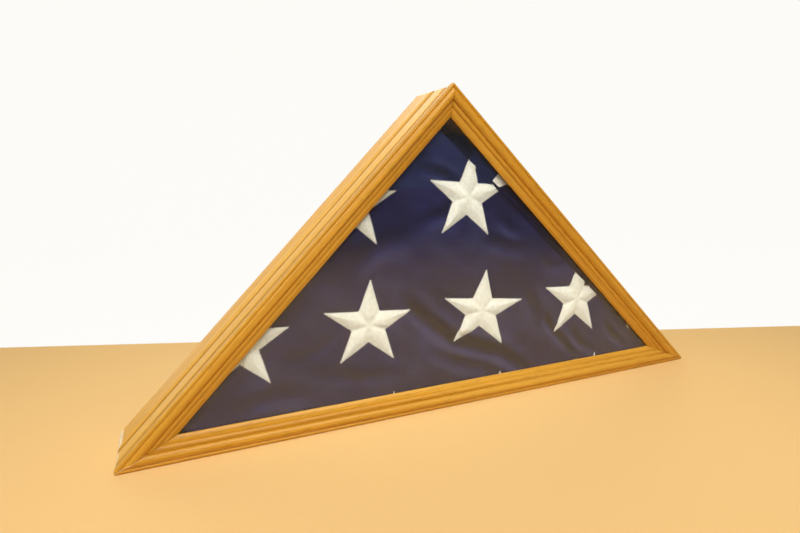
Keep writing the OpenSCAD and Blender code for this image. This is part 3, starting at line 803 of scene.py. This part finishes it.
# ---------------------------------------------------------------------------- Sewn stars
# Each star is cut from white cotton, turned under and sewn on with a close zigzag, which gathers it
# towards its notches. A star that crosses the right-hand edge of the front fold rolls round with it, and
# scraps of the stars on the next fold show beyond that edge.
STAR_LIFT = 0.45 * MM  # how far a star lies in front of the navy cloth
TUCK = 0.15 * MM  # how far its turned edge is pulled into that cloth
ROLL = FRONT_FOLD / 2  # radius of the front fold's edges
roll_start = edge_foot @ over_edge - ROLL
HIDDEN_PAST = 2.6 * ROLL  # where the cloth has rolled out of sight behind the fold
left_slope = APEX - (WOOD_INSIDE + FLAG_GAP + 1 * MM) * math.sqrt(2)

# What bounds the visible cloth, as (point, outward direction): that place, the foot and the left slope
cloth_ends = [(over_edge * (roll_start + HIDDEN_PAST), over_edge),
              (np.array((0, flag_low.z + 1 * MM)), np.array((0, -1))),
              (np.array((0, left_slope)), np.array((-1, 1)))]


def laid(points, lift):
    """Cloth points (x, z) laid on the front fold, lifted off it, and rolled round its right-hand edge."""
    past = np.clip(points @ over_edge - roll_start, 0, None)
    angle = past / ROLL
    flat = points - past[:, None] * over_edge
    placed = flat + ((ROLL + lift) * np.sin(angle))[:, None] * over_edge
    sunk = cloth_depth(placed) * np.clip(1 - np.sin(np.minimum(angle, math.pi / 2)), 0, 1)
    y = CLOTH_FRONT + ROLL - (ROLL + lift) * np.cos(angle) + sunk
    return np.stack((placed[:, 0], y, placed[:, 1]), 1)


def star_sheet(tips, rings=18, per_edge=12):
    """A star as flat points (x, z), cut off at the wood and where it rolls out of sight, its faces, and
    which points are on its sewn edge."""
    outline = star_outline(tips)
    middle = outline.mean(0)
    around = np.concatenate([a + (b - a) * np.linspace(0, 1, per_edge, endpoint=False)[:, None]
                             for a, b in zip(outline, np.roll(outline, -1, axis=0))])
    mesh = bmesh.new()
    sewn = mesh.verts.layers.int.new("sewn")
    hub = mesh.verts.new((*middle, 0))
    loops = []
    for s in np.linspace(0, 1, rings + 1)[1:]:
        loops.append([mesh.verts.new((*(middle + (p - middle) * s), 0)) for p in around])
    skirt = [mesh.verts.new((*p, 0)) for p in around]
    for v in skirt:
        v[sewn] = 1
    loops.append(skirt)
    wide = len(around)
    for k in range(wide):
        mesh.faces.new((hub, loops[0][(k + 1) % wide], loops[0][k]))
        for inner, outer in zip(loops, loops[1:]):
            mesh.faces.new((inner[k], inner[(k + 1) % wide], outer[(k + 1) % wide], outer[k]))
    for where, way in cloth_ends:
        bmesh.ops.bisect_plane(mesh, geom=mesh.verts[:] + mesh.edges[:] + mesh.faces[:],
                               plane_co=(*where, 0), plane_no=(*way, 0), clear_outer=True)
    mesh.verts.index_update()
    points = np.array([v.co[:2] for v in mesh.verts]).reshape(-1, 2)
    edge = np.array([v[sewn] for v in mesh.verts], bool)
    faces = [[v.index for v in f.verts] for f in mesh.faces]
    mesh.free()
    return points, faces, edge


def white_cotton():
    """Undyed white cotton, a little yellowed: matt, with a close rib of thread and soft mottling. The rib
    is 0.6 mm apart, and is drawn 1.7 mm apart here so that it shows."""
    material, tree, shader = new_material("white cotton")
    place = add(tree, "ShaderNodeTexCoord").outputs["Object"]
    parts = add(tree, "ShaderNodeSeparateXYZ", {0: place})
    drift = add(tree, "ShaderNodeTexNoise", {"Vector": place, "Scale": 180.0, "Detail": 2.0})
    shifted = add(tree, "ShaderNodeMath", {0: drift.outputs["Fac"], 1: 0.0022, 2: parts.outputs["Z"]},
                  operation="MULTIPLY_ADD")
    turned = add(tree, "ShaderNodeMath", {0: shifted.outputs[0], 1: 2 * math.pi / (1.7 * MM)},
                 operation="MULTIPLY")
    rib = add(tree, "ShaderNodeMath", {0: turned.outputs[0]}, operation="SINE")
    mottle = add(tree, "ShaderNodeTexNoise", {"Vector": place, "Scale": 300.0, "Detail": 4.0})
    colour = add(tree, "ShaderNodeValToRGB", {"Fac": mottle.outputs["Fac"]},
                 stops=[(0.3, "#EFE4DC"), (0.65, "#FBF3EE")])
    tree.links.new(colour.outputs[0], shader.inputs["Base Color"])
    height = add(tree, "ShaderNodeMath", {0: rib.outputs[0], 1: 0.25, 2: mottle.outputs["Fac"]},
                 operation="MULTIPLY_ADD")
    bump = add(tree, "ShaderNodeBump", {"Height": height.outputs[0], "Strength": 0.4,
                                        "Distance": 0.3 * MM})
    tree.links.new(bump.outputs[0], shader.inputs["Normal"])
    shader.inputs["Roughness"].default_value = 0.9
    shader.inputs["Specular IOR Level"].default_value = 0.2
    return material


verts, faces, count = [], [], 0
for tips in STAR_TIPS:
    points, star_faces, edge = star_sheet(tips)
    verts.append(laid(points, np.where(edge, -TUCK, STAR_LIFT)))
    faces += [[k + count for k in face] for face in star_faces]
    count += len(points)

# Scraps of stars on the next fold, as corners (x, z) in mm
SCRAPS = [[(51, 234), (59, 227), (70, 230), (58, 241)],
          [(176, 123), (183, 120), (189, 123), (182, 126)],
          [(245, 54), (243, 46), (250, 45)]]
for scrap in SCRAPS:
    corners = np.array(scrap) * MM
    lifted = CLOTH_FRONT + FRONT_FOLD - swelling(corners).max() - 0.2 * MM
    verts.append(np.array([(x, lifted, z) for x, z in corners]))
    faces.append([k + count for k in range(len(corners))])
    count += len(corners)
cotton = white_cotton()
stars = smooth_piece("sewn_stars", np.concatenate(verts).tolist(), faces, cotton, outwards=False)
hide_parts("flag_stars")
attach(stars, "root")

# The zigzag runs just inside each star's edge, and one thread crosses it every 1.3 mm
SEAM_SIZE = 0.985  # the seam's outline as a share of the star's
stitch_points, stitch_edges = [], []
for tips in STAR_TIPS:
    outline = star_outline(tips)
    middle = outline.mean(0)
    seam = middle + (outline - middle) * SEAM_SIZE
    for a, b in zip(seam, np.roll(seam, -1, axis=0)):
        run = a + (b - a) * np.linspace(0, 1, 13)[:, None]
        kept = np.all([(run - where) @ way < 0 for where, way in cloth_ends], axis=0)
        first = len(stitch_points)
        stitch_points += list(laid(run, STAR_LIFT))
        stitch_edges += [(first + k, first + k + 1) for k in range(12) if kept[k] and kept[k + 1]]


def zigzag(tree, interface):
    """Short threads across each line, leaning one way and then the other."""
    values = {"Stitch spacing": 1.3 * MM, "Stitch length": 2.8 * MM, "Thread thickness": 0.45 * MM,
              "Lean": math.radians(58), "Sides": 6, "Rings": 5}
    number_inputs(interface, values)
    given = add(tree, "NodeGroupInput").outputs
    curve = add(tree, "GeometryNodeMeshToCurve", {0: given["Geometry"]})
    evenly = add(tree, "GeometryNodeResampleCurve", {"Curve": curve.outputs[0],
                                                     "Length": given["Stitch spacing"]}, mode="LENGTH")
    places = add(tree, "GeometryNodeCurveToPoints", {"Curve": evenly.outputs[0]}, mode="EVALUATED")
    ball = add(tree, "GeometryNodeMeshUVSphere", {"Segments": given["Sides"], "Rings": given["Rings"],
                                                  "Radius": 0.5})
    smooth = add(tree, "GeometryNodeSetShadeSmooth", {0: ball.outputs[0]})
    along = add(tree, "FunctionNodeAlignRotationToVector", {"Vector": places.outputs["Tangent"]}, axis="X")
    odd = add(tree, "ShaderNodeMath", {0: add(tree, "GeometryNodeInputIndex").outputs[0], 1: 2.0},
              operation="MODULO")
    way = add(tree, "ShaderNodeMath", {0: odd.outputs[0], 1: 2.0, 2: -1.0}, operation="MULTIPLY_ADD")
    lean = add(tree, "ShaderNodeMath", {0: way.outputs[0], 1: given["Lean"]}, operation="MULTIPLY")
    turn = add(tree, "FunctionNodeAxisAngleToRotation", {"Axis": (0, 1, 0), "Angle": lean.outputs[0]})
    leant = add(tree, "FunctionNodeRotateRotation", {"Rotation": along.outputs[0],
                                                     "Rotate By": turn.outputs[0]},
                rotation_space="GLOBAL")
    size = add(tree, "ShaderNodeCombineXYZ", {0: given["Stitch length"], 1: given["Thread thickness"],
                                              2: given["Thread thickness"]})
    threads = add(tree, "GeometryNodeInstanceOnPoints", {
        "Points": places.outputs[0], "Instance": smooth.outputs[0], "Rotation": leant.outputs[0],
        "Scale": size.outputs[0]})
    return threads.outputs[0], cotton, values


stitching = repeated("star_zigzag_stitching", stitch_points, stitch_edges, zigzag)
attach(stitching, "root")


# ---------------------------------------------------------------------------- Back panel
# A triangle of 3 mm hardboard lies in the rear rabbet. It is pressed brown wood fibre, smooth on the
# side that shows, and it lifts straight out backwards once the turn buttons are turned aside.
def hardboard():
    """Tempered hardboard: chocolate brown, faintly mottled pressed fibre with a dull burnished skin."""
    material, tree, shader = new_material("tempered hardboard")
    place = add(tree, "ShaderNodeTexCoord").outputs["Object"]
    fibre = add(tree, "ShaderNodeTexNoise", {"Vector": place, "Scale": 650.0, "Detail": 4.0,
                                             "Roughness": 0.7})
    cloud = add(tree, "ShaderNodeTexNoise", {"Vector": place, "Scale": 22.0, "Detail": 3.0})
    both = add(tree, "ShaderNodeMath", {0: fibre.outputs["Fac"], 1: cloud.outputs["Fac"]},
               operation="MULTIPLY")
    colour = add(tree, "ShaderNodeValToRGB", {"Fac": both.outputs[0]},
                 stops=[(0.15, "#573A24"), (0.36, "#6E4D33")])
    tree.links.new(colour.outputs[0], shader.inputs["Base Color"])
    bump = add(tree, "ShaderNodeBump", {"Height": fibre.outputs["Fac"], "Strength": 0.2,
                                        "Distance": 0.15 * MM})
    tree.links.new(bump.outputs[0], shader.inputs["Normal"])
    shader.inputs["Roughness"].default_value = 0.55
    return material


dress("back_panel", hardboard())


# ---------------------------------------------------------------------------- Turn buttons and screws
# Six pressed brass turn buttons with a turned-up finger tab pivot on round-head screws in the rear
# boards. They lie along the boards to free the panel, and turn a quarter over it to hold it.
def brass():
    """Lacquered pressed brass, slightly dulled: warm yellow metal with faint brushing and finger marks."""
    material, tree, shader = new_material("lacquered brass")
    place = add(tree, "ShaderNodeTexCoord").outputs["Object"]
    marks = add(tree, "ShaderNodeTexNoise", {"Vector": place, "Scale": 260.0, "Detail": 4.0})
    colour = add(tree, "ShaderNodeValToRGB", {"Fac": marks.outputs["Fac"]},
                 stops=[(0.3, "#A8842F"), (0.7, "#CDA750")])
    gloss = add(tree, "ShaderNodeMapRange", {"Value": marks.outputs["Fac"], "To Min": 0.22,
                                             "To Max": 0.42})
    tree.links.new(colour.outputs[0], shader.inputs["Base Color"])
    tree.links.new(gloss.outputs[0], shader.inputs["Roughness"])
    shader.inputs["Metallic"].default_value = 1.0
    return material


yellow_brass = brass()
for node in [f"turn_button_{k}" for k in range(1, 7)] + ["button_screws"]:
    dress(node, yellow_brass)


# ---------------------------------------------------------------------------- Floor, lamps and camera
# A pale sand card lies under the case, with its back edge on a white sweep. Broad soft lamps hang high
# on the left, in front and behind, so that the front of the room stays dim in the glass.
def sweep_mesh():
    """A floor that curves up into a wall."""
    near, wall, radius, high, half = -6.0, 1.9, 0.6, 3.5, 6.0
    line = [(near, 0.0)]
    for angle in np.radians(np.linspace(0, 90, 17)):
        line.append((wall - radius + radius * math.sin(angle), radius - radius * math.cos(angle)))
    line.append((wall, high))
    verts = [(x, y, z) for y, z in line for x in (-half, half)]
    faces = [(2 * k, 2 * k + 1, 2 * k + 3, 2 * k + 2) for k in range(len(line) - 1)]
    data = bpy.data.meshes.new("pale_sweep")
    data.from_pydata(verts, [], faces)
    data.shade_smooth()
    return data


CARD_EDGE = 0.216  # distance of the card's back edge from the middle of the base
CARD_TURN = math.radians(22.2)  # how far the card is turned from the case
WHITE_SHARE = 0.98  # how much of the white behind is its own, whatever light falls on it


def pale_card():
    """Matt card: sand-coloured under the case, where it keeps the shadow, and white behind. The white
    shows to the camera and to what glass and metal mirror, without adding light."""
    material, tree, shader = new_material("pale matt card")
    place = add(tree, "ShaderNodeTexCoord").outputs["Object"]
    square_on = (math.sin(CARD_TURN), math.cos(CARD_TURN), 0)
    back = add(tree, "ShaderNodeVectorMath", {0: place, 1: square_on}, operation="DOT_PRODUCT")
    past_edge = add(tree, "ShaderNodeMapRange", {"Value": back.outputs["Value"], "From Min": CARD_EDGE,
                                                 "From Max": CARD_EDGE + 0.003})
    colour = add(tree, "ShaderNodeMix", {0: past_edge.outputs[0], 6: linear("#E6BE7E"),
                                         7: linear("#F6F4EF")}, data_type="RGBA")
    tree.links.new(colour.outputs[2], shader.inputs["Base Color"])
    shader.inputs["Roughness"].default_value = 0.9
    shader.inputs["Specular IOR Level"].default_value = 0.2
    ray = add(tree, "ShaderNodeLightPath")
    seen = add(tree, "ShaderNodeMath", {0: ray.outputs["Is Camera Ray"], 1: ray.outputs["Is Glossy Ray"]},
               operation="MAXIMUM")
    seen = add(tree, "ShaderNodeMath", {0: seen.outputs[0], 1: ray.outputs["Is Transmission Ray"]},
               operation="MAXIMUM")
    lit = add(tree, "ShaderNodeMath", {0: past_edge.outputs[0], 1: WHITE_SHARE}, operation="MULTIPLY")
    share = add(tree, "ShaderNodeMath", {0: seen.outputs[0], 1: lit.outputs[0]}, operation="MULTIPLY")
    white = add(tree, "ShaderNodeEmission", {"Color": linear("#FEFDF9"), "Strength": 1.0})
    card = add(tree, "ShaderNodeMixShader", {0: share.outputs[0], 1: shader.outputs[0],
                                             2: white.outputs[0]})
    tree.links.new(card.outputs[0], tree.nodes["Material Output"].inputs["Surface"])
    return material


sweep = put("pale_sweep", sweep_mesh())
sweep.data.materials.append(pale_card())

# Each lamp has its place and width in metres, its power in watts, the angle that its light spreads over
# in degrees, and its colour
middle = (cad_box[0] + cad_box[1]) / 2
for name, place, size, watts, spread_angle, tint in (
        ("left lamp", (-1.0, -0.3, 1.3), 0.8, 3, 100, "#FFFAF2"),
        ("high front lamp", (0.0, -1.15, 1.7), 1.3, 8.5, 80, "#FFFCF8"),
        ("rear lamp", (0.4, 1.5, 1.6), 1.2, 3.5, 100, "#FFFDFA")):
    lamp = bpy.data.lights.new(name, "AREA")
    lamp.size, lamp.energy, lamp.color = size, watts, linear(tint)[:3]
    lamp.spread = math.radians(spread_angle)
    holder = put(name, lamp)
    holder.location = place
    holder.rotation_euler = (Vector(middle) - Vector(place)).to_track_quat("-Z", "Y").to_euler()

world = bpy.data.worlds.new("studio")
bpy.context.scene.world = world
world.use_nodes = True
world.node_tree.nodes["Background"].inputs["Color"].default_value = linear("#F4F2EE")
world.node_tree.nodes["Background"].inputs["Strength"].default_value = 0.18

# The camera stands to the left of the case, close in front, and looks slightly down
CAMERA_PLACE = (-0.2709, -0.5396, 0.2497)
camera = put("camera", bpy.data.cameras.new("camera"))
camera.data.lens, camera.data.sensor_width = 25.487, 36
yaw, pitch, roll = (math.radians(a) for a in (22.78, 9.89, -1.4))
ahead = Vector((math.sin(yaw) * math.cos(pitch), math.cos(yaw) * math.cos(pitch), -math.sin(pitch)))
level = Vector((math.cos(yaw), -math.sin(yaw), 0))
down = ahead.cross(level)
right = level * math.cos(roll) - down * math.sin(roll)
up = -(level * math.sin(roll) + down * math.cos(roll))
turned = Matrix((right, up, -ahead)).transposed()
camera.matrix_world = Matrix.Translation(CAMERA_PLACE) @ turned.to_4x4()
bpy.context.scene.camera = camera
bpy.context.scene.view_settings.view_transform = "Standard"
